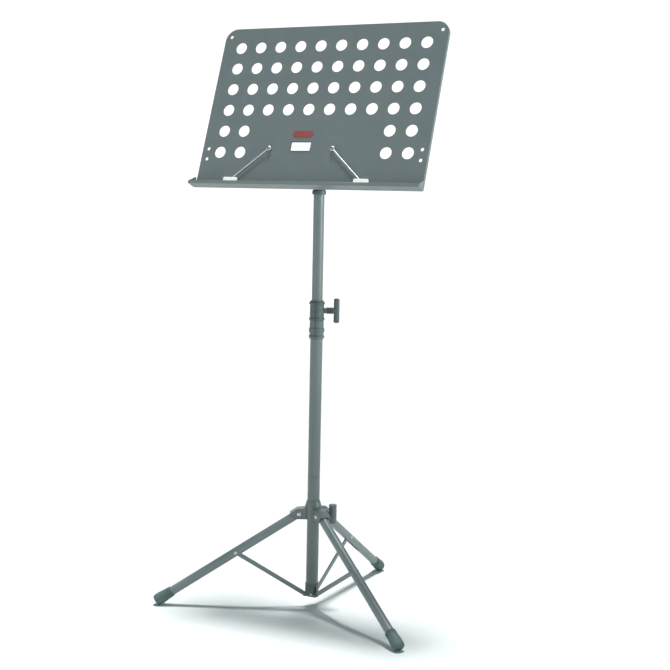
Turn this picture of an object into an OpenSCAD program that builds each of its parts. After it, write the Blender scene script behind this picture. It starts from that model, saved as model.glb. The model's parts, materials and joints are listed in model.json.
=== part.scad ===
// Folding music stand: perforated desk on a telescopic mast with a three-legged base.
// The origin is on the floor under the mast, +Z is up and the desk faces -Y.
// All lengths are in millimetres and all angles in degrees.

/* [Desk] */
// Width of the desk panel
desk_w = 498; // [440:1:560]
// Height of the desk panel along its slope, from the shelf fold to the top edge
desk_h = 351; // [346:1:380]
// Thickness of the desk sheet
sheet_t = 1.2; // [1:0.1:2]
// Radius of the two upper corners of the panel
desk_corner_r = 26; // [10:1:30]
// Depth of the rim folded back along the sides and the top
rim_depth = 8; // [4:0.5:12]
// Lean of the desk back from vertical
desk_lean = 20.5; // [10:0.5:30]
// Spacing of the round holes
hole_pitch = 46; // [45:0.5:47]
// Diameter of the round holes
hole_d = 24.6; // [16:0.2:28]
// Height of the lowest row of holes above the fold
hole_first_row = 77; // [60:1:80]
// Diameter of the small holes near the corners
corner_hole_d = 7; // [4:0.2:8]
// Distance of the small holes from the middle of the panel
corner_hole_x = 235.5; // [233:0.5:238]

/* [Shelf] */
// Length of the shelf, a little more than the panel's width
shelf_w = 504; // [500:1:570]
// Depth of the shelf in front of the panel
shelf_depth = 26; // [20:1:40]
// Height of the front lip
lip_h = 6.5; // [5:0.5:12]
// Height of the shelf's end walls where they meet the panel
end_wall_h = 22; // [14:1:30]

/* [Page arms] */
// Length of an arm from its pivot to the crossbar
arm_len = 100; // [80:1:101]
// Slope of the arms below the horizontal of the panel
arm_slope = 42; // [40:0.5:45]
// Diameter of the wire
wire_d = 2.6; // [2:0.1:3]
// Distance between the two arm pivots
arm_pivot_gap = 141; // [130:1:150]
// Sideways place of the middle of the two pivots
arm_middle_x = -23.5; // [-30:0.5:-20]
// Height of the arm pivots above the fold
arm_pivot_h = 84.5; // [82:0.5:88]

/* [Mast] */
// Outer diameter of the inner tube
inner_tube_d = 22; // [21:0.5:22]
// Outer diameter of the outer tube
outer_tube_d = 25; // [25:0.1:25.5]
// Wall thickness of both tubes
tube_wall = 1.2; // [1:0.1:1.2]
// Height of the axis that the desk tilts about
tilt_axis_z = 892; // [890:1:894]
// Height of the height clamp's screw
clamp_screw_z = 611; // [609:1:613]
// Turn of both clamp handles about the mast, counted from +X
handle_azimuth = 30; // [20:1:40]

/* [Base] */
// Direction of the rear leg, counted from +X
leg_azimuth = 88.2; // [80:0.1:100]
// Slope of the open legs below the horizontal
leg_slope = 32.8; // [31:0.1:34]
// Outer diameter of a leg tube
leg_d = 18; // [17:0.5:18]
// Distance of the leg pivots from the mast axis
hub_pivot_r = 29; // [28.5:0.1:29.5]
// Height of the leg pivots above the floor
hub_pivot_z = 195; // [193:0.5:197]
// Distance of the strut pivots at the base collar from the mast axis
base_pivot_r = 14.5; // [14.2:0.1:15]
// Height of the strut pivots at the base collar
base_pivot_z = 26.5; // [26:0.5:27]
// Distance along a leg from its hub pivot to its strut pivot
strut_on_leg = 153; // [151:0.5:155]
// Width of a strut
strut_w = 8.5; // [7:0.1:8.6]
// Thickness of a strut
strut_t = 3; // [2.5:0.1:3]

/* [Hidden] */
$fn = 96;
eps = 0.01;
// Radial play of a running fit, and the play of parts that only pass each other
run_fit = 0.05;
pass_fit = 0.3;
// Radial play of the two open strut pivots and of the sliding hub
open_pivot_fit = 0.75;
hub_fit = 0.5;

paint = [0.42, 0.46, 0.46];
paint_dark = [0.33, 0.37, 0.37];
plastic = [0.27, 0.31, 0.31];
rubber = [0.22, 0.25, 0.25];
zinc = [0.80, 0.82, 0.82];
chrome = [0.72, 0.75, 0.74];
brass = [0.72, 0.62, 0.36];
white = [0.95, 0.95, 0.94];
red = [0.72, 0.16, 0.16];

// Desk: the fold is found from the hole grid's distance in front of the mast
hole_cols = 10;
hole_rows = 6;
full_rows = 4;
edge_cols = 2;
fold_y = -66.5;
fold_z = 852.4;
bend_r = 2;
corner_hole_heights = [62.5, 84.5, 333];
panel_back = -sheet_t;

// Shelf and label
lip_lean = 4;
label_size = [45.5, 21];
label_x = arm_middle_x - 1;
label_h = 89.5;
stripe_size = [32, 14];
stripe_h = 116;
label_t = 0.4;

// Page arms
arm_lift = 3.6;
arm_eye_r = 5.2;
arm_pad_size = [31, 8, 4.4];
arm_pad_r = 2;
arm_screw_r = 2;

// Tilt joint, in the desk's own frame: x sideways, y up the panel, z forwards
tilt_foot_h = (tilt_axis_z - fold_z) * cos(desk_lean) - fold_y * sin(desk_lean);
tilt_behind = (tilt_axis_z - fold_z) * sin(desk_lean) + fold_y * cos(desk_lean);
tilt_eye_r = 15;
tilt_head_w = 23;
tilt_bolt_r = 4;
friction_t = 1;
cheek_t = 2.5;
cheek_in = tilt_head_w / 2 + friction_t;
cheek_out = cheek_in + cheek_t;
bracket_h = 96;
bracket_w = 56;
bracket_t = 2;
steel_washer_t = 1.6;
knob_r = 17;
knob_t = 14;
knob_lobes = 6;
knob_in = cheek_out + steel_washer_t + 0.4;

// Tilt socket on top of the mast
socket_bottom = 843;
socket_ring_top = 851.5;
socket_ring_r = 14;
socket_r = 12.3;
inner_tube_top = 872;
socket_pin_z = 862;
socket_pin_r = 2;

// Mast
inner_r = inner_tube_d / 2;
inner_bore_r = inner_r - tube_wall;
outer_r = outer_tube_d / 2;
outer_bore_r = outer_r - tube_wall;
inner_tube_bottom = 300;
outer_tube_bottom = 44;
outer_tube_top = 600;
guide_flange_h = 8;
guide_spigot_h = 18;

// Height clamp
clamp_bottom = 553.5;
clamp_split = 591;
clamp_top = 629.5;
clamp_r = 14.2;
clamp_lip_r = 15.8;
clamp_band_r = 15.4;
clamp_lip_h = 6;
bush_wall = 1.1;
boss_r = 5.6;
clamp_boss_out = 18.5;

// Clamp handles
screw_r = 3;
insert_r = 4.2;
pad_r = 3;
pad_t = 3;
handle_gap = 0.5;
height_bar_x = 39.5;
height_bar_r = 5.8;
height_bar_h = 48;
hub_bar_x = 40;
hub_bar_r = 7.9;
hub_bar_h = 39;
neck_r = 5.3;
neck_root_r = 5.8;

// Hub
hub_r = 17.2;
hub_half_h = 12.5;
hub_cone_h = 12;
hub_screw_z = hub_pivot_z - 1;
hub_boss_out = 20.8;
hub_bore_r = outer_r + hub_fit;
ear_in = leg_d / 2 + pass_fit;
ear_t = 2.2;
ear_out = ear_in + ear_t;
ear_reach = 15;
ear_web_t = 1.8;
ear_drop = 10.4;
ear_shy = 0.1;

// Legs and feet
leg_r = leg_d / 2;
leg_bore_r = leg_r - tube_wall;
leg_end_r = leg_r + 0.3;
foot_len = 39;
foot_r = 12.1;
foot_end_r = 11;
foot_neck_r = 10.3;
foot_sole = 9;
foot_flat = 1;
leg_len = (hub_pivot_z - foot_end_r * cos(leg_slope) + foot_flat) / sin(leg_slope);
leg_plug_len = 22;
slot_w = strut_t + 2 * open_pivot_fit;
slot_up = 12;
slot_down = 64;

// Struts and base collar
strut_run = hub_pivot_r + strut_on_leg * cos(leg_slope) - base_pivot_r;
strut_rise = hub_pivot_z - strut_on_leg * sin(leg_slope) - base_pivot_z;
strut_len = norm([strut_run, strut_rise]);
strut_slope = atan2(strut_rise, strut_run);
collar_r = 13.9;
collar_bottom = 21.6;
collar_top = 50;
lug_r = 4.4;
lug_gap = strut_t + 2 * pass_fit;
lug_w = lug_gap + 4.4;
collar_core_r = base_pivot_r - strut_w / 2 - 1.2;

rivet_r = 2.5;
collar_rivet_azimuth = 290;
collar_rivet_z = 28;
collar_rivet_r = 1.6;
collar_head_r = 3.3;

// ---- Placing ----

// Puts children in the desk's frame: x sideways, y up the panel from the fold, z forwards
module on_desk() {
    translate([0, fold_y, fold_z]) rotate([90 - desk_lean, 0, 0]) children();
}

// Turns children to the direction of leg i: 0 rear, 1 left, 2 right
module at_leg(i) {
    rotate([0, 0, leg_azimuth + 120 * i]) children();
}

// Puts children at leg i's hub pivot, x along the leg towards the foot
module on_leg(i) {
    at_leg(i) translate([hub_pivot_r, 0, hub_pivot_z]) rotate([0, leg_slope, 0]) children();
}

// Puts children at strut i's lower pivot, x along the strut
module on_strut(i) {
    at_leg(i) translate([base_pivot_r, 0, base_pivot_z]) rotate([0, -strut_slope, 0]) children();
}

// Puts children on a clamp screw's axis at height z, x outwards from the mast
module on_screw(z) {
    translate([0, 0, z]) rotate([0, 0, handle_azimuth]) children();
}

// Puts children at an arm pivot: side -1 is the left arm, 1 the right
module on_arm(side) {
    on_desk() translate([arm_middle_x + side * arm_pivot_gap / 2, arm_pivot_h, 0])
        mirror([side < 0 ? 1 : 0, 0, 0]) children();
}

// ---- Shapes that repeat ----

// Cylinder along x from x0 to x1
module rod_x(r, x0, x1) {
    translate([x0, 0, 0]) rotate([0, 90, 0]) cylinder(r = r, h = x1 - x0);
}

// Cylinder along y, centred
module rod_y(r, w) {
    rotate([90, 0, 0]) cylinder(r = r, h = w, center = true);
}

// Round tube standing on z0
module tube_z(r, bore_r, z0, z1) {
    difference() {
        translate([0, 0, z0]) cylinder(r = r, h = z1 - z0);
        translate([0, 0, z0 - 1]) cylinder(r = bore_r, h = z1 - z0 + 2);
    }
}

// Revolved bar along z with its ends rounded by radius f
module soft_bar(r, h, f) {
    rotate_extrude() difference() {
        union() {
            translate([0, -h / 2 + f]) square([r, h - 2 * f]);
            translate([0, -h / 2]) square([r - f, h]);
            for (s = [-1, 1]) translate([r - f, s * (h / 2 - f)]) circle(r = f);
        }
        translate([-2 * r, -h]) square([2 * r, 2 * h]);
    }
}

// Half-round rivet or screw head on z = 0
module dome_head(r, h) {
    sphere_r = (r * r + h * h) / (2 * h);
    intersection() {
        translate([0, 0, h - sphere_r]) sphere(r = sphere_r);
        cylinder(r = r + 1, h = h + 1);
    }
}

// Rivet along y through a stack of half width half_w
module rivet_y(half_w, head_r, head_h) {
    rod_y(rivet_r, 2 * half_w);
    for (s = [-1, 1]) translate([0, s * half_w, 0]) rotate([-90 * s, 0, 0]) dome_head(head_r, head_h);
}

// Outline of a lug: a straight base at height base_h and a round eye about the origin
module lug_outline(base_w, base_h, eye_r) {
    touch_r = eye_r - 0.3;
    reach = norm([base_w / 2, base_h]);
    touch = atan2(base_h, base_w / 2) - acos(touch_r / reach);
    circle(r = eye_r);
    polygon([
        [-base_w / 2, base_h], [base_w / 2, base_h],
        [touch_r * cos(touch), touch_r * sin(touch)], [-touch_r * cos(touch), touch_r * sin(touch)]
    ]);
}

// ---- Base ----

module outer_tube() {
    color(paint) tube_z(outer_r, outer_bore_r, outer_tube_bottom, outer_tube_top);
}

// Bottom collar: holds the tube's end and carries three pairs of lugs
module base_collar() {
    fillet = 6;
    height = collar_top - collar_bottom;
    head_room = 1.5;
    color(paint_dark) difference() {
        union() {
            translate([0, 0, collar_bottom]) rotate_extrude() difference() {
                union() {
                    translate([0, fillet]) square([collar_r, height - fillet]);
                    square([collar_r - fillet, height]);
                    translate([collar_r - fillet, fillet]) circle(r = fillet);
                }
                translate([-2 * collar_r, -1]) square([2 * collar_r, height + 2]);
            }
            for (i = [0:2]) at_leg(i) {
                translate([base_pivot_r, 0, base_pivot_z]) rod_y(lug_r, lug_w);
                translate([0, -lug_w / 2, base_pivot_z - lug_r]) cube([base_pivot_r, lug_w, 2 * lug_r]);
            }
        }
        translate([0, 0, outer_tube_bottom]) cylinder(r = outer_r + eps, h = height);
        for (i = [0:2]) at_leg(i) {
            translate([collar_core_r, -lug_gap / 2, collar_bottom - 1])
                cube([2 * collar_r, lug_gap, height + 2]);
            translate([base_pivot_r, 0, base_pivot_z]) rod_y(rivet_r + eps, lug_w + 2);
            for (s = [-1, 1]) translate([base_pivot_r, s * (lug_w + head_room) / 2, base_pivot_z])
                rod_y(collar_head_r + pass_fit, head_room);
        }
        on_collar_rivet() rod_x(collar_rivet_r + eps, collar_r - 6, 2 * collar_r);
    }
}

// Puts children on the collar rivet's axis, x outwards
module on_collar_rivet() {
    rotate([0, 0, collar_rivet_azimuth]) translate([0, 0, collar_rivet_z]) children();
}

// Round-headed rivet in the front of the collar
module collar_rivet() {
    color(zinc) on_collar_rivet() {
        rod_x(collar_rivet_r, collar_r - 5.9, collar_r + 0.1);
        translate([collar_r + eps, 0, 0]) rotate([0, 90, 0]) dome_head(2.8, 1.4);
    }
}

module base_rivets() {
    color(zinc) for (i = [0:2]) at_leg(i) translate([base_pivot_r, 0, base_pivot_z])
        rivet_y(lug_w / 2, collar_head_r, 1.2);
}

// Flat strut; end_fit is the play of its outer hole on the leg's rivet
module strut(i, end_fit) {
    color(paint_dark) on_strut(i) difference() {
        union() {
            translate([0, -strut_t / 2, -strut_w / 2]) cube([strut_len, strut_t, strut_w]);
            for (x = [0, strut_len]) translate([x, 0, 0]) rod_y(strut_w / 2, strut_t);
        }
        rod_y(rivet_r + run_fit, strut_t + 2);
        translate([strut_len, 0, 0]) rod_y(rivet_r + end_fit, strut_t + 2);
    }
}

// Round end of a leg about its hub pivot, open towards the foot
module leg_end(r, reach) {
    rod_y(r, 2 * leg_d);
    translate([0, -leg_d, -leg_d]) cube([reach, 2 * leg_d, 2 * leg_d]);
}

// Leg tube with a slot along its underside that takes the strut when folded
module leg_tube(i) {
    tube_end = leg_len - foot_sole;
    color(paint) on_leg(i) difference() {
        intersection() {
            rod_x(leg_r, -leg_d, tube_end);
            leg_end(leg_end_r, leg_len);
        }
        rod_x(leg_bore_r, -leg_d, leg_len);
        rod_y(rivet_r + run_fit, 2 * leg_d);
        translate([strut_on_leg, 0, 0]) rod_y(rivet_r + eps, 2 * leg_d);
        translate([strut_on_leg - slot_up, -slot_w / 2, -leg_d]) cube([slot_up + slot_down, slot_w, leg_d]);
    }
}

// Nylon plug that backs the leg tube where the hub rivet goes through
module leg_plug(i) {
    color(plastic) on_leg(i) difference() {
        intersection() {
            rod_x(leg_bore_r - 3 * eps, -leg_d, leg_plug_len);
            leg_end(leg_end_r, leg_len);
        }
        rod_y(rivet_r + run_fit, 2 * leg_d);
    }
}

// Rubber foot: a boot on the leg's end with a small flat where it meets the floor
module foot(i) {
    wide_from = 25;
    wide_to = 33;
    lip = 2.5;
    color(rubber) difference() {
        on_leg(i) translate([leg_len - foot_len, 0, 0]) rotate([0, 90, 0]) rotate_extrude() polygon([
            [leg_r + eps, 0], [foot_neck_r - 0.5, 0], [foot_neck_r, 0.6], [foot_neck_r, lip],
            [foot_neck_r + 0.3, lip + 4], [foot_r - 0.3, wide_from - 4], [foot_r, wide_from],
            [foot_r, wide_to], [foot_r - 0.3, wide_to + 2.5], [foot_end_r, foot_len - 0.9],
            [foot_end_r - 0.9, foot_len],
            [0, foot_len], [0, foot_len - foot_sole + eps], [leg_r + eps, foot_len - foot_sole + eps]
        ]);
        translate([-2 * leg_len, -2 * leg_len, -leg_len]) cube([4 * leg_len, 4 * leg_len, leg_len]);
    }
}

module strut_rivet(i) {
    color(zinc) on_leg(i) translate([strut_on_leg, 0, 0]) rivet_y(leg_r + eps, 3.6, 1.9);
}

// Sliding hub: sleeve with a conical top, three forked ears and a boss for the lock screw
module hub_body() {
    sleeve_bottom = hub_pivot_z - hub_half_h + 2;
    sleeve_top = hub_pivot_z + hub_half_h + 3;
    color(paint) difference() {
        union() {
            translate([0, 0, sleeve_bottom]) cylinder(r = hub_r, h = sleeve_top - sleeve_bottom);
            translate([0, 0, sleeve_top]) cylinder(r1 = hub_r, r2 = hub_bore_r + 0.7, h = hub_cone_h);
            for (i = [0:2]) at_leg(i) hub_ear();
            on_screw(hub_screw_z) rod_x(boss_r + 1, hub_bore_r + 1, hub_boss_out);
        }
        translate([0, 0, sleeve_bottom - 1]) cylinder(r = hub_bore_r, h = 2 * hub_half_h + hub_cone_h + 6);
        on_screw(hub_screw_z) rod_x(insert_r + eps, 0, hub_boss_out - 2);
        on_screw(hub_screw_z) rod_x(screw_r + pass_fit, 0, hub_boss_out + 1);
        for (i = [0:2]) at_leg(i) translate([hub_pivot_r, 0, hub_pivot_z])
            rod_y(rivet_r + eps, 2 * ear_out + 2);
    }
}

// One forked ear seen along y: two cheeks joined by a web that the open leg stops against
module hub_ear() {
    bore_r = leg_end_r + pass_fit;
    translate([hub_pivot_r, 0, hub_pivot_z]) {
        for (s = [-1, 1]) translate([0, s * (ear_in + ear_t / 2), 0]) rotate([90, 0, 0])
            linear_extrude(ear_t, center = true) ear_outline(bore_r + ear_web_t);
        rotate([90, 0, 0]) linear_extrude(2 * ear_in + eps, center = true) difference() {
            ear_outline(bore_r + ear_web_t);
            circle(r = bore_r);
            rotate(-leg_slope) translate([0, -2 * leg_d]) square([2 * leg_d, 2 * leg_d + bore_r - ear_shy]);
            translate([-bore_r + ear_shy, -2 * leg_d]) square([2 * leg_d, 2 * leg_d]);
        }
    }
}

// Side view of an ear about the leg's pivot, flat below; r is the radius over the leg's end
module ear_outline(r) {
    inner = outer_r + 1.5 - hub_pivot_r;
    intersection() {
        union() {
            circle(r = r);
            polygon([[inner, -ear_drop], [0, -ear_drop], [0, r - ear_shy], [inner, r + 1.5]]);
            rotate(-leg_slope) translate([0, -r / 2]) square([ear_reach, 1.5 * r - ear_shy]);
        }
        translate([-3 * leg_d, -ear_drop]) square([6 * leg_d, 3 * leg_d]);
    }
}

module hub_rivets() {
    color(zinc) for (i = [0:2]) at_leg(i) translate([hub_pivot_r, 0, hub_pivot_z])
        rivet_y(ear_out, 4.8, 2.4);
}

// ---- Clamp screws ----

// Threaded brass insert on a screw axis, from x0 to x1
module threaded_insert(z, x0, x1) {
    color(brass) on_screw(z) difference() {
        rod_x(insert_r, x0, x1);
        rod_x(screw_r + run_fit, x0 - 1, x1 + 1);
    }
}

// Thrust pad that the screw presses on a tube of radius r
module thrust_pad(z, r) {
    color(brass) on_screw(z) rod_x(pad_r, r + pass_fit, r + pass_fit + pad_t);
}

// Steel stud fixed in a handle, from the pad to the bar
module clamp_screw(z, r, bar_x) {
    color(zinc) on_screw(z) rod_x(screw_r, r + pass_fit + pad_t + eps, bar_x);
}

// T handle: a tapered neck from boss_out and an upright bar at bar_x
module t_handle(z, r, boss_out, bar_x, bar_r, bar_h) {
    color(plastic) on_screw(z) difference() {
        union() {
            translate([boss_out + handle_gap, 0, 0]) rotate([0, 90, 0])
                cylinder(r1 = neck_root_r, r2 = neck_r, h = bar_x - boss_out - handle_gap);
            translate([bar_x, 0, 0]) soft_bar(bar_r, bar_h, 1.2);
        }
        rod_x(screw_r + eps, 0, bar_x + eps);
    }
}

// ---- Height clamp ----

// Clamp part: sleeve from z0 to z1 with a round lip at each height in lips
module clamp_shell(z0, z1, lips) {
    translate([0, 0, z0]) cylinder(r = clamp_r, h = z1 - z0);
    intersection() {
        translate([0, 0, z0]) cylinder(r = 2 * clamp_r, h = z1 - z0);
        for (z = lips) translate([0, 0, z]) soft_bar(clamp_lip_r, clamp_lip_h, 2.4);
    }
}

module clamp_sleeve() {
    color(paint_dark) difference() {
        union() {
            clamp_shell(clamp_bottom, clamp_split, [clamp_bottom + 5]);
            translate([0, 0, clamp_bottom + 18]) soft_bar(clamp_band_r, 10, 1.2);
        }
        translate([0, 0, clamp_bottom - 1]) cylinder(r = outer_r + eps, h = clamp_split - clamp_bottom + 2);
    }
}

module clamp_head() {
    color(plastic) difference() {
        union() {
            clamp_shell(clamp_split + eps, clamp_top, [clamp_split + 3.1, clamp_top - 3.5]);
            on_screw(clamp_screw_z) rod_x(boss_r, inner_r + 2, clamp_boss_out);
        }
        translate([0, 0, clamp_split - 1])
            cylinder(r = outer_r + eps, h = outer_tube_top - clamp_split + 1);
        translate([0, 0, clamp_split]) cylinder(r = inner_r + run_fit + bush_wall + eps, h = clamp_top);
        on_screw(clamp_screw_z) rod_x(insert_r + eps, 0, clamp_boss_out - 0.8);
        on_screw(clamp_screw_z) rod_x(screw_r + pass_fit, 0, clamp_boss_out + 1);
    }
}

// Nylon bush that the inner tube slides and turns in, with a window for the thrust pad
module clamp_bush() {
    color(plastic) difference() {
        union() {
            tube_z(inner_r + run_fit + bush_wall, inner_r + run_fit, outer_tube_top + 0.2, clamp_top + 1);
            tube_z(clamp_r - 0.8, inner_r + run_fit, clamp_top + eps, clamp_top + 1.8);
        }
        on_screw(clamp_screw_z) rod_x(pad_r + pass_fit, 0, 2 * inner_r);
    }
}

// ---- Mast ----

// Guide at the inner tube's lower end, which runs in the outer tube
module guide_bush() {
    color(plastic) {
        translate([0, 0, inner_tube_bottom - guide_flange_h])
            cylinder(r = outer_bore_r - run_fit, h = guide_flange_h - 0.1);
        translate([0, 0, inner_tube_bottom - 0.2]) cylinder(r = inner_bore_r - run_fit, h = guide_spigot_h);
    }
}

module inner_tube() {
    color(paint) difference() {
        tube_z(inner_r, inner_bore_r, inner_tube_bottom, inner_tube_top);
        translate([0, 0, socket_pin_z]) rod_y(socket_pin_r + eps, 3 * inner_r);
    }
}

// Socket on the mast's top: a ringed sleeve under a round eye for the tilt bolt
module tilt_socket() {
    neck = 2 * socket_r - 3;
    color(plastic) difference() {
        union() {
            translate([0, 0, socket_bottom]) cylinder(r = socket_r, h = inner_tube_top + 4 - socket_bottom);
            translate([0, 0, (socket_bottom + socket_ring_top) / 2])
                soft_bar(socket_ring_r, socket_ring_top - socket_bottom, 1.8);
            translate([-tilt_head_w / 2, -neck / 2, inner_tube_top])
                cube([tilt_head_w, neck, tilt_axis_z - inner_tube_top]);
            translate([0, 0, tilt_axis_z]) rod_x(tilt_eye_r, -tilt_head_w / 2, tilt_head_w / 2);
        }
        translate([0, 0, socket_bottom - 1])
            cylinder(r = inner_r + eps, h = inner_tube_top + 1 - socket_bottom);
        translate([0, 0, tilt_axis_z]) rod_x(tilt_bolt_r + run_fit, -tilt_head_w, tilt_head_w);
        translate([0, 0, socket_pin_z]) rod_y(socket_pin_r + eps, 3 * socket_r);
    }
}

module socket_pin() {
    color(zinc) translate([0, 0, socket_pin_z]) rod_y(socket_pin_r, 2 * socket_r - 0.6);
}

// ---- Desk ----

// Panel outline, shrunk by inset on its sides and top
module panel_outline(inset) {
    w = desk_w - 2 * inset;
    h = desk_h - inset;
    r = desk_corner_r - inset;
    translate([-w / 2, bend_r]) square([w, h - r - bend_r]);
    translate([-w / 2 + r, bend_r]) square([w - 2 * r, h - bend_r]);
    for (s = [-1, 1]) translate([s * (w / 2 - r), h - r]) circle(r = r);
}

// Full rows of holes above, two columns at each side below
module panel_holes() {
    for (row = [0:hole_rows - 1], col = [0:hole_cols - 1]) {
        at_side = col < edge_cols || col >= hole_cols - edge_cols;
        if (row >= hole_rows - full_rows || at_side)
            translate([(col - (hole_cols - 1) / 2) * hole_pitch, hole_first_row + row * hole_pitch])
                circle(d = hole_d);
    }
    for (s = [-1, 1], h = corner_hole_heights) translate([s * corner_hole_x, h]) circle(d = corner_hole_d);
    for (s = [-1, 1]) translate([arm_middle_x + s * arm_pivot_gap / 2, arm_pivot_h])
        circle(r = arm_screw_r + eps);
}

// Perforated sheet with a rim folded back along its sides and top
module desk_panel() {
    color(paint) on_desk() {
        translate([0, 0, panel_back]) linear_extrude(sheet_t) difference() {
            panel_outline(0);
            panel_holes();
        }
        translate([0, 0, -rim_depth]) linear_extrude(rim_depth - sheet_t + eps) difference() {
            panel_outline(0);
            panel_outline(sheet_t);
            translate([-desk_w, 0]) square([2 * desk_w, 3 * bend_r]);
        }
    }
}

// Shelf below the panel: a bend, a floor, a front lip and two sloping end walls
module desk_shelf() {
    color(paint) on_desk() {
        rotate([90, 0, 90]) linear_extrude(shelf_w, center = true) shelf_section();
        for (s = [-1, 1]) translate([s * (shelf_w - sheet_t) / 2, 0, 0])
            rotate([90, 0, 90]) linear_extrude(sheet_t, center = true) end_wall_section();
    }
}

// Cross-section of the shelf with x up the panel and y forwards
module shelf_section() {
    lip_shift = lip_h * sin(lip_lean);
    translate([bend_r, bend_r - sheet_t]) intersection() {
        difference() {
            circle(r = bend_r);
            circle(r = bend_r - sheet_t);
        }
        translate([-bend_r, -bend_r]) square(bend_r);
    }
    translate([0, bend_r - sheet_t]) square([sheet_t, shelf_depth - bend_r]);
    polygon([
        [0, shelf_depth - sheet_t], [sheet_t, shelf_depth - 2 * sheet_t],
        [lip_h, shelf_depth - 2 * sheet_t + lip_shift], [lip_h, shelf_depth - sheet_t + lip_shift]
    ]);
}

// End wall that slopes from the panel down to the lip
module end_wall_section() {
    polygon([
        [sheet_t - eps, 0], [end_wall_h, 0], [end_wall_h - 1, 4], [lip_h, shelf_depth - 2 * sheet_t],
        [sheet_t - eps, shelf_depth - 2 * sheet_t]
    ]);
}

// Bracket welded to the panel's back: a base plate and two cheeks for the tilt bolt
module tilt_bracket() {
    base_z = panel_back - bracket_t;
    color(paint_dark) on_desk() difference() {
        union() {
            translate([-bracket_w / 2, tilt_foot_h - bracket_h / 2, base_z])
                cube([bracket_w, bracket_h, bracket_t]);
            for (s = [-1, 1]) translate([s * (cheek_in + cheek_t / 2), tilt_foot_h, tilt_behind])
                rotate([90, 0, 90]) linear_extrude(cheek_t, center = true)
                    lug_outline(bracket_h - 12, base_z - tilt_behind + eps, tilt_eye_r);
        }
        translate([0, tilt_foot_h, tilt_behind]) rod_x(tilt_bolt_r + eps, -bracket_w, bracket_w);
    }
}

// Puts children on the tilt axis, x along the bolt
module on_tilt_axis() {
    translate([0, 0, tilt_axis_z]) children();
}

module ring_x(r, bore_r, x0, x1) {
    difference() {
        rod_x(r, x0, x1);
        rod_x(bore_r, x0 - 1, x1 + 1);
    }
}

module tilt_bolt() {
    head_t = 5.3;
    head_flats = 13;
    head_out = -cheek_out - steel_washer_t;
    color(zinc) on_tilt_axis() {
        rod_x(tilt_bolt_r, head_out - eps, knob_in + knob_t - 3);
        translate([head_out - head_t, 0, 0]) rotate([0, 90, 0])
            cylinder(d = head_flats / cos(30), h = head_t, $fn = 6);
    }
}

module friction_washers() {
    color(plastic) on_tilt_axis() for (s = [-1, 1]) mirror([s < 0 ? 1 : 0, 0, 0])
        ring_x(tilt_eye_r - 2, tilt_bolt_r + eps, tilt_head_w / 2 + run_fit, cheek_in);
}

module steel_washers() {
    color(zinc) on_tilt_axis() for (s = [-1, 1]) mirror([s < 0 ? 1 : 0, 0, 0])
        ring_x(8.5, tilt_bolt_r + eps, cheek_out, cheek_out + steel_washer_t);
}

// Lobed tension knob on the bolt's free end
module tilt_knob() {
    scoop_r = 5;
    color(plastic) on_tilt_axis() difference() {
        rod_x(knob_r, knob_in, knob_in + knob_t);
        for (k = [0:knob_lobes - 1]) rotate([k * 360 / knob_lobes, 0, 0])
            translate([0, 0, knob_r + 2.2]) rod_x(scoop_r, knob_in - 1, knob_in + knob_t + 1);
        rod_x(6 + eps, knob_in - 1, knob_in + 8);
        rod_x(tilt_bolt_r + pass_fit, knob_in, knob_in + knob_t - 2);
    }
}

module knob_insert() {
    color(brass) on_tilt_axis() ring_x(6, tilt_bolt_r + run_fit, knob_in, knob_in + 8);
}

// Blank label plate and a plain stripe above it
module label_plate() {
    color(white) on_desk() translate([label_x - label_size[0] / 2, label_h - label_size[1] / 2, eps])
        cube([label_size[0], label_size[1], label_t]);
}

module label_stripe() {
    color(red) on_desk() translate([label_x, stripe_h, eps]) {
        translate([-stripe_size[0] / 2, -stripe_size[1] / 2, 0])
            cube([stripe_size[0], stripe_size[1], label_t]);
        for (s = [-1, 1]) translate([s * stripe_size[0] / 2, 0, 0])
            cylinder(d = stripe_size[1], h = label_t);
    }
}

// ---- Page arms ----

// Screw, locknut and washers of both arm pivots
module arm_screws() {
    color(zinc) for (s = [-1, 1]) on_arm(s) {
        translate([0, 0, panel_back - 5]) cylinder(r = arm_screw_r, h = arm_lift + 6);
        translate([0, 0, arm_lift - wire_d / 2 - 0.1]) {
            cylinder(r = arm_eye_r - wire_d - run_fit, h = wire_d + 0.4);
            translate([0, 0, wire_d + 0.3]) dome_head(4, 1.9);
        }
    }
}

module arm_nuts() {
    color(zinc) for (s = [-1, 1]) on_arm(s) translate([0, 0, panel_back - 3.6]) difference() {
        cylinder(d = 7 / cos(30), h = 3.5, $fn = 6);
        translate([0, 0, -1]) cylinder(r = arm_screw_r + eps, h = 6);
    }
}

module arm_washers() {
    color(zinc) for (s = [-1, 1]) on_arm(s) difference() {
        translate([0, 0, eps]) cylinder(r = 4.5, h = arm_lift - wire_d / 2 - 0.1 - 2 * eps);
        cylinder(r = arm_screw_r + eps, h = arm_lift);
    }
}

// Straight wires of an arm: the shank from the eye and the crossbar it ends in
module arm_wires(r) {
    bar_half = arm_pad_size[0] / 2 - 2;
    rotate([0, 0, -arm_slope]) rod_x(r - 0.05, arm_eye_r - wire_d / 2, arm_len);
    translate([arm_len * cos(arm_slope), -arm_len * sin(arm_slope), 0]) rod_x(r, -bar_half, bar_half);
}

// Wire arm: a round eye on the pivot, a straight shank and a crossbar
module page_arm(side) {
    color(chrome) on_arm(side) translate([0, 0, arm_lift]) {
        rotate_extrude() translate([arm_eye_r - wire_d / 2, 0]) circle(d = wire_d);
        arm_wires(wire_d / 2);
    }
}

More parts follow.
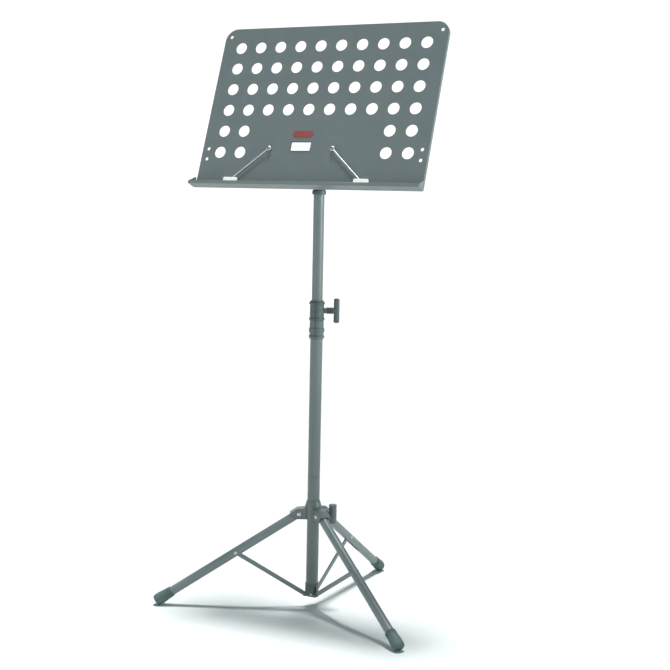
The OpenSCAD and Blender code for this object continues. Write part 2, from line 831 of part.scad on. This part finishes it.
// White vinyl pad moulded around the crossbar
module arm_pad(side) {
    w = arm_pad_size[0];
    h = arm_pad_size[1];
    t = arm_pad_size[2];
    color(white) on_arm(side) translate([0, 0, arm_lift]) difference() {
        translate([arm_len * cos(arm_slope), -arm_len * sin(arm_slope), -t / 2]) linear_extrude(t) {
            square([w, h - 2 * arm_pad_r], center = true);
            square([w - 2 * arm_pad_r, h], center = true);
            for (x = [-1, 1], y = [-1, 1])
                translate([x * (w / 2 - arm_pad_r), y * (h / 2 - arm_pad_r)]) circle(r = arm_pad_r);
        }
        arm_wires(wire_d / 2 + 2 * eps);
    }
}

outer_tube();
base_collar();
collar_rivet();
base_rivets();
clamp_sleeve();
clamp_head();
clamp_bush();
threaded_insert(clamp_screw_z, inner_r + 3.4, clamp_boss_out - 1);  // clamp_insert
strut(0, run_fit);  // strut_rear
strut(1, open_pivot_fit);  // strut_left
strut(2, open_pivot_fit);  // strut_right
leg_tube(0);  // leg_tube_rear
leg_tube(1);  // leg_tube_left
leg_tube(2);  // leg_tube_right
leg_plug(0);  // leg_plug_rear
leg_plug(1);  // leg_plug_left
leg_plug(2);  // leg_plug_right
foot(0);  // foot_rear
foot(1);  // foot_left
foot(2);  // foot_right
strut_rivet(0);  // strut_rivet_rear
strut_rivet(1);  // strut_rivet_left
strut_rivet(2);  // strut_rivet_right
hub_body();
hub_rivets();
threaded_insert(hub_screw_z, outer_r + 3.6, hub_boss_out - 2.2);  // hub_insert
thrust_pad(hub_screw_z, outer_r);  // hub_pad
clamp_screw(hub_screw_z, outer_r, hub_bar_x);  // hub_screw
t_handle(hub_screw_z, outer_r, hub_boss_out, hub_bar_x, hub_bar_r, hub_bar_h);  // hub_handle
thrust_pad(clamp_screw_z, inner_r);  // height_pad
clamp_screw(clamp_screw_z, inner_r, height_bar_x);  // height_screw
t_handle(clamp_screw_z, inner_r, clamp_boss_out, height_bar_x, height_bar_r, height_bar_h);  // height_handle
guide_bush();
inner_tube();
tilt_socket();
socket_pin();
desk_panel();
desk_shelf();
tilt_bracket();
tilt_bolt();
friction_washers();
steel_washers();
tilt_knob();
knob_insert();
label_plate();
label_stripe();
arm_screws();
arm_nuts();
arm_washers();
page_arm(-1);  // page_arm_left
page_arm(1);  // page_arm_right
arm_pad(-1);  // arm_pad_left
arm_pad(1);  // arm_pad_right
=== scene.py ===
import json
import math

import bpy
from mathutils import Matrix, Vector


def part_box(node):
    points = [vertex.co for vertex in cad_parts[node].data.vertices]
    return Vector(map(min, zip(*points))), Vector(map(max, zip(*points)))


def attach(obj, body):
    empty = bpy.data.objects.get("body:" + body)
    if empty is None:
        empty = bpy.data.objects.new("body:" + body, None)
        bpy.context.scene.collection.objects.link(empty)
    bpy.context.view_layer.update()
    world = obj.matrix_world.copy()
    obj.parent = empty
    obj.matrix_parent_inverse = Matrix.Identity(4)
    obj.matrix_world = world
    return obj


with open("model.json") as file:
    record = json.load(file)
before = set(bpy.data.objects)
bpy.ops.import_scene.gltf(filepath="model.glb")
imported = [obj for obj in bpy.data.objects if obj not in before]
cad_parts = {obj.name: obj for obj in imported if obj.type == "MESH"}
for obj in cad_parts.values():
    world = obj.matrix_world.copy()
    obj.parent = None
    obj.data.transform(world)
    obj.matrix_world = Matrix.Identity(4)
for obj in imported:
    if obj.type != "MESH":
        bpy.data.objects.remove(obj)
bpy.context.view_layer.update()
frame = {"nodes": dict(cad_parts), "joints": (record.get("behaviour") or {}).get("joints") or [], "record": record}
NODES = frame["nodes"]
MM = 0.001

# Camera, as seen from a reader's right: azimuth and distance from the mast, eye height, aim and lens
CAM_AZIMUTH = math.radians(27.02)
CAM_DISTANCE = 2.701
CAM_HEIGHT = 0.8447
CAM_YAW = math.radians(26.23)
CAM_PITCH = math.radians(-5.973)
CAM_ROLL = math.radians(1.151)
CAM_LENS = 72.37


# ---- Node helpers ----

def new_material(name):
    """An empty node material with a Principled shader; returns the material, its tree and the shader."""
    material = bpy.data.materials.new(name)
    material.use_nodes = True
    tree = material.node_tree
    return material, tree, tree.nodes["Principled BSDF"]


def object_coords(tree):
    return tree.nodes.new("ShaderNodeTexCoord").outputs["Object"]


def noise(tree, scale, detail=3.0, roughness=0.5, coords=None):
    node = tree.nodes.new("ShaderNodeTexNoise")
    node.inputs["Scale"].default_value = scale
    node.inputs["Detail"].default_value = detail
    node.inputs["Roughness"].default_value = roughness
    tree.links.new(coords or object_coords(tree), node.inputs["Vector"])
    return node.outputs["Fac"]


def remap(tree, value, low, high, to_low, to_high):
    node = tree.nodes.new("ShaderNodeMapRange")
    node.inputs["From Min"].default_value = low
    node.inputs["From Max"].default_value = high
    node.inputs["To Min"].default_value = to_low
    node.inputs["To Max"].default_value = to_high
    tree.links.new(value, node.inputs["Value"])
    return node.outputs["Result"]


def mix_colors(tree, fac, first, second):
    node = tree.nodes.new("ShaderNodeMix")
    node.data_type = "RGBA"
    tree.links.new(fac, node.inputs["Factor"])
    for socket, color in (("A", first), ("B", second)):
        target = [s for s in node.inputs if s.name == socket and s.type == "RGBA"][0]
        if isinstance(color, tuple):
            target.default_value = (*color, 1)
        else:
            tree.links.new(color, target)
    return [s for s in node.outputs if s.type == "RGBA"][0]


def bump(tree, height, distance, strength=1.0, normal=None):
    node = tree.nodes.new("ShaderNodeBump")
    node.inputs["Distance"].default_value = distance
    node.inputs["Strength"].default_value = strength
    tree.links.new(height, node.inputs["Height"])
    if normal:
        tree.links.new(normal, node.inputs["Normal"])
    return node.outputs["Normal"]


def soft_edges(tree, radius):
    node = tree.nodes.new("ShaderNodeBevel")
    node.samples = 6
    node.inputs["Radius"].default_value = radius
    return node.outputs["Normal"]


def edge_mask(tree, radius, low, high):
    """About 1 along convex edges and 0 on flats, from how far the bevelled normal turns."""
    geometry = tree.nodes.new("ShaderNodeNewGeometry")
    dot = tree.nodes.new("ShaderNodeVectorMath")
    dot.operation = "DOT_PRODUCT"
    tree.links.new(geometry.outputs["Normal"], dot.inputs[0])
    tree.links.new(soft_edges(tree, radius), dot.inputs[1])
    return remap(tree, dot.outputs["Value"], high, low, 0.0, 1.0)


# ---- Materials ----

def painted_steel(name, color, worn, roughness, grain):
    """Powder-coated steel: orange-peel bump, faint mottling, lighter where the edges have rubbed."""
    material, tree, shader = new_material(name)
    mottle = noise(tree, 18, 4)
    base = mix_colors(tree, remap(tree, mottle, 0.35, 0.65, 0.0, 1.0), color, tuple(c * 1.07 for c in color))
    rub = edge_mask(tree, 0.6 * MM, 0.86, 0.985)
    patchy = tree.nodes.new("ShaderNodeMath")
    patchy.operation = "MULTIPLY"
    tree.links.new(rub, patchy.inputs[0])
    tree.links.new(remap(tree, noise(tree, 90, 3), 0.4, 0.7, 0.15, 0.75), patchy.inputs[1])
    tree.links.new(mix_colors(tree, patchy.outputs["Value"], base, worn), shader.inputs["Base Color"])
    rough = remap(tree, noise(tree, 45, 5), 0.3, 0.7, roughness - 0.05, roughness + 0.06)
    tree.links.new(rough, shader.inputs["Roughness"])
    peel = noise(tree, grain, 2, 0.4)
    tree.links.new(bump(tree, peel, 0.05 * MM, 0.55, soft_edges(tree, 0.35 * MM)), shader.inputs["Normal"])
    shader.inputs["Specular IOR Level"].default_value = 0.5
    shader.inputs["Coat Weight"].default_value = 0.30
    shader.inputs["Coat Roughness"].default_value = 0.30
    return material


def moulded(name, color, roughness, edge=0.5):
    """Moulded nylon or rubber: fine spark-eroded grain and a faint bloom."""
    material, tree, shader = new_material(name)
    bloom = remap(tree, noise(tree, 30, 5), 0.35, 0.7, 0.0, 1.0)
    base = mix_colors(tree, bloom, color, tuple(c * 1.16 + 0.004 for c in color))
    rough = remap(tree, noise(tree, 140, 3), 0.3, 0.7, roughness - 0.06, roughness + 0.07)
    tree.links.new(base, shader.inputs["Base Color"])
    tree.links.new(rough, shader.inputs["Roughness"])
    grain = noise(tree, 2600, 2, 0.6)
    tree.links.new(bump(tree, grain, 0.06 * MM, 0.5, soft_edges(tree, edge * MM)), shader.inputs["Normal"])
    return material


def metal(name, color, roughness, streak_axis=2, streak=18.0):
    """Plated or machined metal: fine drawn streaks across one axis, and small stains."""
    material, tree, shader = new_material(name)
    mapping = tree.nodes.new("ShaderNodeMapping")
    scale = [1.0, 1.0, 1.0]
    scale[streak_axis] = streak
    mapping.inputs["Scale"].default_value = scale
    tree.links.new(object_coords(tree), mapping.inputs["Vector"])
    lines = noise(tree, 240, 3, coords=mapping.outputs["Vector"])
    stain = remap(tree, noise(tree, 60, 5), 0.4, 0.75, 0.0, 1.0)
    base = mix_colors(tree, stain, color, tuple(c * 0.86 for c in color))
    rough = remap(tree, lines, 0.3, 0.7, roughness - 0.06, roughness + 0.1)
    tree.links.new(base, shader.inputs["Base Color"])
    tree.links.new(rough, shader.inputs["Roughness"])
    tree.links.new(bump(tree, lines, 0.02 * MM, 0.4, soft_edges(tree, 0.3 * MM)), shader.inputs["Normal"])
    shader.inputs["Metallic"].default_value = 1.0
    return material


def assign(material, *names):
    for name in names:
        NODES[name].data.materials.clear()
        NODES[name].data.materials.append(material)


def in_slots(*slots):
    """The CAD nodes whose record slot is one of slots."""
    return [s["node"] for s in frame["record"]["subparts"] if s["material_slot"] in slots]


MATERIALS = {
    "painted_steel": painted_steel("powder_coat", (0.114, 0.141, 0.143), (0.23, 0.26, 0.26), 0.46, 900),
    "painted_steel_dark": painted_steel("powder_coat_dark", (0.076, 0.103, 0.104), (0.19, 0.22, 0.22), 0.50, 900),
    "moulded_plastic": moulded("moulded_nylon", (0.056, 0.082, 0.081), 0.50),
    "rubber": moulded("foot_rubber", (0.086, 0.128, 0.122), 0.66, 0.8),
    "zinc_steel": metal("bright_zinc", (0.60, 0.63, 0.62), 0.34),
    "chrome_wire": metal("drawn_wire", (0.66, 0.70, 0.69), 0.52),
    "brass": metal("brass_insert", (0.70, 0.52, 0.24), 0.34),
    "white_vinyl": moulded("white_vinyl", (0.92, 0.93, 0.92), 0.42, 0.25),
    "red_enamel": moulded("red_enamel", (0.24, 0.045, 0.045), 0.45, 0.1),
}
# Finishes of single parts that differ from their slot's, and a lighter copy of the powder coat on the legs and
# struts that is painted light
NECK_GRIP = moulded("neck_grip", (0.040, 0.038, 0.046), 0.55, 0.2)
# Black for the label's printed border, and painted shade in the arm screws' cross recesses
BLACK_PRINT_AND_SHADE = moulded("black_print_and_recess_shade", (0.012, 0.012, 0.013), 0.50, 0.1)
GREY_SCREW = metal("grey_screw", (0.26, 0.28, 0.28), 0.42)
PALE_GRIP = moulded("pale_grip", (0.125, 0.152, 0.150), 0.52)
# Painted light: the same powder coat made lighter on the legs and struts, standing in for light and highlights the
# lamps leave off them
LIT_LEG_PAINT = painted_steel("powder_coat_legs_painted_light", (0.166, 0.199, 0.204), (0.25, 0.28, 0.28), 0.44, 900)


def dress_cad():
    for name, material in MATERIALS.items():
        assign(material, *in_slots(name))
    assign(PALE_GRIP, "hub_handle")
    # The legs and struts take the lighter copy of the powder coat: painted light
    for side in ("rear", "left", "right"):
        assign(LIT_LEG_PAINT, "leg_tube_" + side, "strut_" + side)
    assign(GREY_SCREW, "arm_screws", "arm_nuts", "arm_washers", "base_rivets", "strut_rivet_right")


# ---- Shapes ----

def add_mesh(name, verts, faces, smooth=True):
    mesh = bpy.data.meshes.new(name)
    mesh.from_pydata(verts, [], faces)
    mesh.validate()
    mesh.update()
    for polygon in mesh.polygons:
        polygon.use_smooth = smooth
    piece = bpy.data.objects.new(name, mesh)
    bpy.context.scene.collection.objects.link(piece)
    return piece


def finish_piece(piece, body, slot, material=None):
    """Gives the piece its finish and hangs it on a CAD body."""
    piece.data.materials.append(material or MATERIALS[slot])
    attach(piece, body)
    return piece


def basis(origin, axis):
    """Turns local coordinates with z along axis into the row frame, about origin."""
    turn = Vector(axis).to_track_quat("Z", "Y").to_matrix().to_4x4()
    return Matrix.Translation(Vector(origin)) @ turn


def lathe(profiles, place, segments=40):
    """Vertices and faces of closed (radius, height) profiles in millimetres, turned about z of place."""
    verts, faces = [], []
    for profile in profiles:
        count = len(profile)
        first = len(verts)
        for step in range(segments):
            angle = 2 * math.pi * step / segments
            for radius, height in profile:
                point = Vector((radius * math.cos(angle), radius * math.sin(angle), height)) * MM
                verts.append(tuple(place @ point))
        for step in range(segments):
            here = first + step * count
            there = first + (step + 1) % segments * count
            for k in range(count):
                after = (k + 1) % count
                faces.append((here + k, there + k, there + after, here + after))
    return verts, faces


def ring_profile(radius, height, thick, wide, points=10):
    """A closed rounded section, thick radially and wide along the axis, centred at a radius and a height."""
    turns = [2 * math.pi * k / points for k in range(points)]
    return [(radius + thick * math.cos(t), height + wide * math.sin(t)) for t in turns]


def bead(name, path, radius, ripple=0.0, pitch=2.4, sides=10):
    """A closed round bead along straight stretches of path, in metres; ripple makes it a weld."""
    stations = []
    for start, end in zip(path, path[1:]):
        start, end = Vector(start), Vector(end)
        count = max(1, int((end - start).length / (0.3 * pitch * MM))) if ripple else 1
        stations += [start.lerp(end, k / count) for k in range(count)]
    stations.append(Vector(path[-1]))
    verts, faces = [], []
    for i, here in enumerate(stations):
        before = stations[max(i - 1, 0)]
        after = stations[min(i + 1, len(stations) - 1)]
        turn = (after - before).to_track_quat("Z", "Y").to_matrix()
        swell = 1 + ripple * math.sin(2 * math.pi * 0.3 * i)
        taper = 0.6 if i in (0, len(stations) - 1) else 1.0
        for k in range(sides):
            angle = 2 * math.pi * k / sides
            round_point = Vector((math.cos(angle), math.sin(angle), 0)) * radius * MM * swell * taper
            verts.append(tuple(here + turn @ round_point))
    for i in range(len(stations) - 1):
        for k in range(sides):
            a, b = i * sides + k, i * sides + (k + 1) % sides
            faces.append((a, b, b + sides, a + sides))
    faces.append(tuple(reversed(range(sides))))
    faces.append(tuple(range(len(verts) - sides, len(verts))))
    return add_mesh(name, verts, faces)


def joined(name, parts):
    """One piece from several meshes, which are removed."""
    verts, faces = [], []
    for part in parts:
        first = len(verts)
        verts += [tuple(v.co) for v in part.data.vertices]
        faces += [tuple(first + k for k in polygon.vertices) for polygon in part.data.polygons]
        bpy.data.objects.remove(part)
    return add_mesh(name, verts, faces)


# ---- Places in the frame, from the CAD nodes and joints ----

JOINTS = {joint["name"]: joint for joint in frame["joints"]}
LEAN = math.radians(20.5)
DESK_UP = Vector((0, math.sin(LEAN), math.cos(LEAN)))
DESK_FORWARD = Vector((0, -math.cos(LEAN), math.sin(LEAN)))
DESK_FOLD = Vector((0, -66.5, 852.4)) * MM
TILT_AXIS = Vector(JOINTS["desk_tilt"]["pos_m"])
LEG_SLOPE = math.radians(32.8)


def on_desk(x, up, forward=0.0):
    """A point of the desk in metres from millimetres sideways, up the panel and forwards."""
    return DESK_FOLD + Vector((x, 0, 0)) * MM + DESK_UP * up * MM + DESK_FORWARD * forward * MM


def middle(node):
    low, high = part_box(node)
    return (Vector(low) + Vector(high)) / 2


def around_mast(azimuth, radius, height):
    """A point in metres from degrees and millimetres."""
    turn = math.radians(azimuth)
    return Vector((radius * math.cos(turn), radius * math.sin(turn), height)) * MM


# ---- Pieces ----

def make_clamp_seam():
    """Moulding line down the front of the height clamp, over its rings."""
    outline = [
        (13.9, 554.0), (15.7, 556.4), (15.9, 558.5), (15.7, 560.8), (14.3, 562.4), (14.3, 566.2),
        (15.4, 567.6), (15.5, 575.4), (14.3, 576.9), (14.3, 590.6), (15.7, 592.3), (15.9, 594.1),
        (15.7, 596.3), (14.3, 598.0), (14.3, 621.9), (15.7, 623.8), (15.9, 626.0), (15.7, 628.0),
        (14.2, 629.3),
    ]
    seam_azimuth = 286
    seam = bead("clamp_seam", [around_mast(seam_azimuth, r, z) for r, z in outline], 0.55)
    finish_piece(seam, "column", "moulded_plastic", NECK_GRIP)


def make_clamp_ribs():
    """Short upright grip ribs around the clamp's lower band."""
    count = 18
    parts = []
    for k in range(count):
        azimuth = 360 / count * k + 6
        ends = [around_mast(azimuth, 15.35, height) for height in (568.5, 574.5)]
        parts.append(bead("rib", ends, 0.5))
    finish_piece(joined("clamp_band_ribs", parts), "column", "painted_steel_dark")


HANDLE_AXIS = Vector(JOINTS["height_screw_turn"]["axis"])


def make_handle_trim(label, neck, bar_x, bar_r, bar_h, material=None):
    """Ribbed grip on a clamp handle's neck, and a domed cap on each end of its bar."""
    body = label + "_handle"
    height = JOINTS[label + "_screw_turn"]["pos_m"][2] / MM
    start, end = neck
    place = basis((0, 0, height * MM), HANDLE_AXIS)
    rings = [[(5.2, start), (6.2, start + 0.5), (6.2, end - 0.5), (5.0, end)]]
    steps = int((end - start) / 2.2)
    rings += [ring_profile(6.1, start + 1.4 + 2.2 * k, 0.5, 0.7) for k in range(steps)]
    grip = add_mesh(label + "_neck_grip", *lathe(rings, place))
    finish_piece(grip, body, "moulded_plastic", NECK_GRIP)
    parts = []
    centre = HANDLE_AXIS * bar_x * MM + Vector((0, 0, height * MM))
    for side in (-1, 1):
        cap_place = basis(centre + Vector((0, 0, side * (bar_h / 2 - 0.2) * MM)), (0, 0, side))
        dome = [(0.01, 0.0), (bar_r - 2.2, 0.0), (bar_r - 2.5, 0.7), (bar_r * 0.35, 1.1), (0.01, 1.2)]
        parts.append(add_mesh("cap", *lathe([dome], cap_place)))
        parts.append(add_mesh("ring", *lathe([ring_profile(bar_r, -3.2, 0.28, 0.5)], cap_place)))
    finish_piece(joined(label + "_bar_trim", parts), body, "moulded_plastic", material)


def make_foot_rings(name):
    """Moulded rings round a rubber foot."""
    foot_middle = middle("foot_" + name)
    pivot = Vector(JOINTS["hub_on_leg_rear" if name == "rear" else "leg_%s_on_hub" % name]["pos_m"])
    flat = Vector((foot_middle.x, foot_middle.y, 0)) - Vector((pivot.x, pivot.y, 0))
    along = flat.normalized() * math.cos(LEG_SLOPE) - Vector((0, 0, math.sin(LEG_SLOPE)))
    leg_end = (pivot.z / MM - 11 * math.cos(LEG_SLOPE) + 1) / math.sin(LEG_SLOPE)
    place = basis(pivot, along)
    heights = ((leg_end - 37.0, 10.35), (leg_end - 34.4, 10.5), (leg_end - 31.8, 10.8))
    rings = [ring_profile(radius, height, 0.45, 0.6) for height, radius in heights]
    piece = add_mesh("foot_rings_" + name, *lathe(rings, place))
    finish_piece(piece, "leg_" + name, "rubber")


def make_tube_ring():
    """Rolled groove's raised edge round the outer tube above the hub."""
    rings = [ring_profile(12.45, 272.0 + shift, 0.28, 0.45) for shift in (-0.8, 0.8)]
    piece = add_mesh("tube_swage", *lathe(rings, Matrix.Identity(4), 64))
    finish_piece(piece, "column", "painted_steel_dark")


def make_welds():
    """Weld beads round the bracket's base plate and along the feet of its cheeks."""
    foot_up = (TILT_AXIS - DESK_FOLD).dot(DESK_UP) / MM
    half_w, half_h, back = 28.0, 48.0, -1.6
    parts = []

    def weld(start, end, radius):
        parts.append(bead("weld", [on_desk(*start), on_desk(*end)], radius, 0.14))

    for side in (-1, 1):
        edge = side * half_w
        weld((edge, foot_up - 40, back), (edge, foot_up - 8, back), 1.5)
        weld((edge, foot_up + 8, back), (edge, foot_up + 40, back), 1.5)
        weld((-20, foot_up + side * half_h, back), (20, foot_up + side * half_h, back), 1.5)
        weld((side * 15.2, foot_up - 38, -3.5), (side * 15.2, foot_up + 38, -3.5), 1.3)
    finish_piece(joined("bracket_welds", parts), "desk", "painted_steel_dark")


def make_lip_hem():
    """Rolled hem along the top of the shelf's front lip."""
    hem = bead("lip_hem", [on_desk(-250.5, 6.5, 24.65), on_desk(250.5, 6.5, 24.65)], 0.95)
    finish_piece(hem, "desk", "painted_steel")


def make_label_border():
    """Thin dark frame printed round the blank label."""
    low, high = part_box("label_plate")
    left, right = low[0] / MM, high[0] / MM
    bottom, top, face = 79.0, 100.0, 0.44
    corners = []
    for inset in (0.0, 1.7):
        x0, x1 = left + inset, right - inset
        up0, up1 = bottom + inset, top - inset
        corners += [(x0, up0), (x1, up0), (x1, up1), (x0, up1)]
    verts = [tuple(on_desk(x, up, level)) for level in (face, face - 0.06) for x, up in corners]
    faces = []
    for k in range(4):
        n = (k + 1) % 4
        faces += [(k, n, 4 + n, 4 + k), (8 + k, 12 + k, 12 + n, 8 + n)]
        faces += [(k, 8 + k, 8 + n, n), (4 + k, 4 + n, 12 + n, 12 + k)]
    border = add_mesh("label_border", verts, faces, smooth=False)
    finish_piece(border, "desk", "white_vinyl", BLACK_PRINT_AND_SHADE)


def make_knob_cap():
    """Domed cap in the middle of the tension knob's outer face."""
    outer_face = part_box("tilt_knob")[1][0]
    place = basis((outer_face, TILT_AXIS.y, TILT_AXIS.z), (1, 0, 0))
    dome = [(0.01, -0.3), (8.2, -0.3), (8.0, 0.4), (6.0, 0.9), (3.0, 1.15), (0.01, 1.2)]
    rings = [dome, ring_profile(9.6, 0.0, 0.5, 0.35)]
    finish_piece(add_mesh("knob_cap", *lathe(rings, place)), "tilt_knob", "moulded_plastic")


def make_screw_slots():
    """Crossed driver slots in the page arms' screw heads, drawn as thin black crosses: painted shade for the
    recesses.
    """
    parts = []
    for side in ("left", "right"):
        pivot = Vector(JOINTS["page_arm_%s_swing" % side]["pos_m"])
        centre = pivot + DESK_FORWARD * 3.45 * MM
        across = Vector((1, 0, 0))
        for direction in ((across + DESK_UP).normalized(), (across - DESK_UP).normalized()):
            reach = direction * 1.5 * MM
            parts.append(bead("slot", [centre - reach, centre + reach], 0.32, sides=6))
    # The crosses are black: painted shade inside the cross recesses
    finish_piece(joined("arm_screw_slot_shade", parts), "desk", "zinc_steel", BLACK_PRINT_AND_SHADE)


# ---- Stage ----

def floor_material():
    material, tree, shader = new_material("pale_floor")
    tint = remap(tree, noise(tree, 3, 3), 0.3, 0.7, 0.0, 1.0)
    base = mix_colors(tree, tint, (0.69, 0.71, 0.71), (0.71, 0.73, 0.73))
    tree.links.new(base, shader.inputs["Base Color"])
    shader.inputs["Roughness"].default_value = 0.8
    shader.inputs["Specular IOR Level"].default_value = 0.1
    return material


def make_floor():
    half = 7.0
    corners = [(-half, -half, 0), (half, -half, 0), (half, half, 0), (-half, half, 0)]
    floor = add_mesh("floor", corners, [(0, 1, 2, 3)])
    floor.data.materials.append(floor_material())


def add_light(name, kind, place, aim, power, **settings):
    data = bpy.data.lights.new(name, kind)
    data.energy = power
    for setting, value in settings.items():
        setattr(data, setting, value)
    lamp = bpy.data.objects.new(name, data)
    lamp.location = place
    lamp.rotation_euler = (Vector(aim) - Vector(place)).to_track_quat("-Z", "Y").to_euler()
    bpy.context.scene.collection.objects.link(lamp)


def world_dot(tree, direction):
    node = tree.nodes.new("ShaderNodeVectorMath")
    node.operation = "DOT_PRODUCT"
    node.inputs[1].default_value = direction
    tree.links.new(tree.nodes.new("ShaderNodeTexCoord").outputs["Generated"], node.inputs[0])
    return node.outputs["Value"]


def make_world():
    """White backdrop behind the stand and low all round, with a dimmer and cooler studio above."""
    world = bpy.data.worlds.new("studio")
    world.use_nodes = True
    tree = world.node_tree
    behind = remap(tree, world_dot(tree, (-math.sin(CAM_YAW), math.cos(CAM_YAW), 0)), 0.72, 0.90, 0.0, 1.0)
    low = remap(tree, world_dot(tree, (0, 0, 1)), 0.10, 0.30, 0.85, 0.0)
    either = tree.nodes.new("ShaderNodeMath")
    either.operation = "MAXIMUM"
    tree.links.new(behind, either.inputs[0])
    tree.links.new(low, either.inputs[1])
    white = either.outputs["Value"]
    background = tree.nodes["Background"]
    tree.links.new(remap(tree, white, 0.0, 1.0, 0.19, 1.15), background.inputs["Strength"])
    tree.links.new(mix_colors(tree, white, (0.66, 0.96, 1.0), (1.0, 1.0, 1.0)), background.inputs["Color"])
    bpy.context.scene.world = world


def light_studio():
    add_light("overhead", "SUN", (-0.04, 0.10, 1.0), (0, 0, 0), 4.0, angle=math.radians(10))
    narrow = math.radians(40)
    beam = {"shape": "DISK", "spread": narrow}
    add_light("side", "AREA", (2.4, 0.1, 1.25), (0, 0, 0.93), 3.4, size=0.9, color=(0.93, 1, 1), **beam)
    add_light("front", "AREA", (-1.6, -2.8, 1.7), (0, 0, 1.05), 2.6, size=2.0, **beam)
    make_world()


def place_camera():
    data = bpy.data.cameras.new("camera")
    data.lens = CAM_LENS
    data.clip_end = 60
    camera = bpy.data.objects.new("camera", data)
    level = Vector((-math.sin(CAM_YAW), math.cos(CAM_YAW), 0))
    forward = level * math.cos(CAM_PITCH) + Vector((0, 0, math.sin(CAM_PITCH)))
    right = forward.cross(Vector((0, 0, 1))).normalized()
    up = right.cross(forward)
    turned_right = right * math.cos(CAM_ROLL) + up * math.sin(CAM_ROLL)
    turned_up = up * math.cos(CAM_ROLL) - right * math.sin(CAM_ROLL)
    place = Vector((math.sin(CAM_AZIMUTH) * CAM_DISTANCE, -math.cos(CAM_AZIMUTH) * CAM_DISTANCE, CAM_HEIGHT))
    turn = Matrix((turned_right, turned_up, -forward)).transposed()
    camera.matrix_world = Matrix.Translation(place) @ turn.to_4x4()
    bpy.context.scene.collection.objects.link(camera)
    bpy.context.scene.camera = camera


place_camera()
make_floor()
light_studio()
dress_cad()
make_clamp_seam()
make_clamp_ribs()
make_handle_trim("height", (19.2, 33.0), 39.5, 5.8, 48)
make_handle_trim("hub", (21.6, 31.5), 40, 7.9, 39, PALE_GRIP)
for leg in ("rear", "left", "right"):
    make_foot_rings(leg)
make_tube_ring()
make_welds()
make_lip_hem()
make_label_border()
make_knob_cap()
make_screw_slots()
bpy.context.scene.view_settings.view_transform = "Standard"

bpy.context.view_layer.update()
